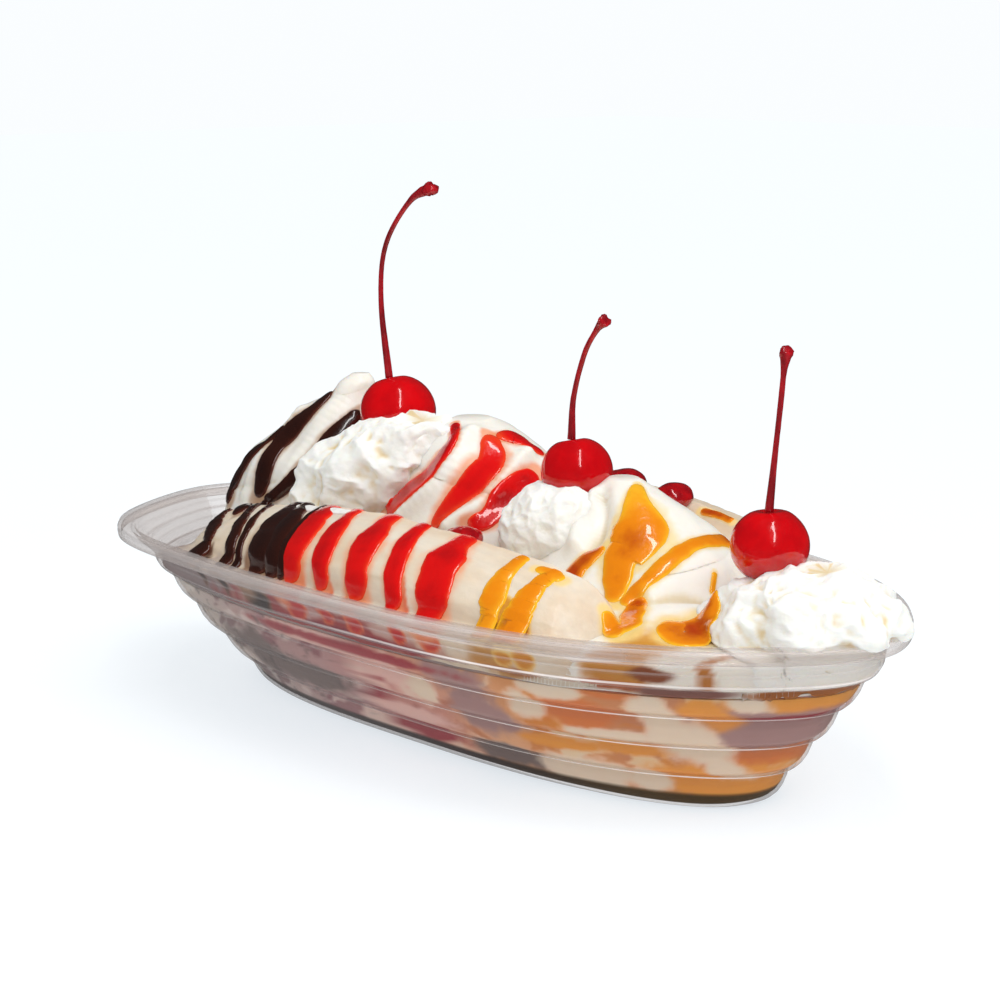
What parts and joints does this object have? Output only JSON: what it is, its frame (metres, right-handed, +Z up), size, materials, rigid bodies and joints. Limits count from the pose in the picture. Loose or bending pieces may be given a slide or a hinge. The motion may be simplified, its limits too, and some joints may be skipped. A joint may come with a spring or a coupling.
{
  "type": "banana split",
  "caption": "Banana split in a clear stepped plastic boat: banana halves, soft-serve scoops, sauces, whipped cream and stemmed cherries.",
  "frame": {"origin": "on the table under the middle of the whole object's box", "axes": "+X along the boat from the chocolate end to the caramel end, +Y across the boat away from the side that is shown, +Z up"},
  "size_m": [0.2292, 0.1122, 0.1234],
  "materials": {
    "clear_plastic": "clear thin plastic with a faint grey-mauve tint",
    "ice_cream_and_sauce": "melting ice cream swirled with sauces",
    "banana": "peeled banana, moist",
    "ice_cream": "smooth vanilla soft serve",
    "whipped_cream": "ragged whipped cream",
    "cherry": "glossy candied cherry",
    "cherry_stem": "dark red stem",
    "strawberry": "strawberry piece in syrup"
  },
  "bodies": {
    "root": {"dish": "clear_plastic", "bed": "ice_cream_and_sauce", "banana_front": "banana", "banana_back": "banana", "scoop_left": "ice_cream", "scoop_middle": "ice_cream", "scoop_right": "ice_cream", "cream_left": "whipped_cream", "cream_middle": "whipped_cream", "cream_right": "whipped_cream", "cherry_left": "cherry", "cherry_middle": "cherry", "cherry_right": "cherry", "stem_left": "cherry_stem", "stem_middle": "cherry_stem", "stem_right": "cherry_stem", "strawberry_front": "strawberry", "strawberry_far_left": "strawberry", "strawberry_far_right": "strawberry"}
  },
  "joints": []
}
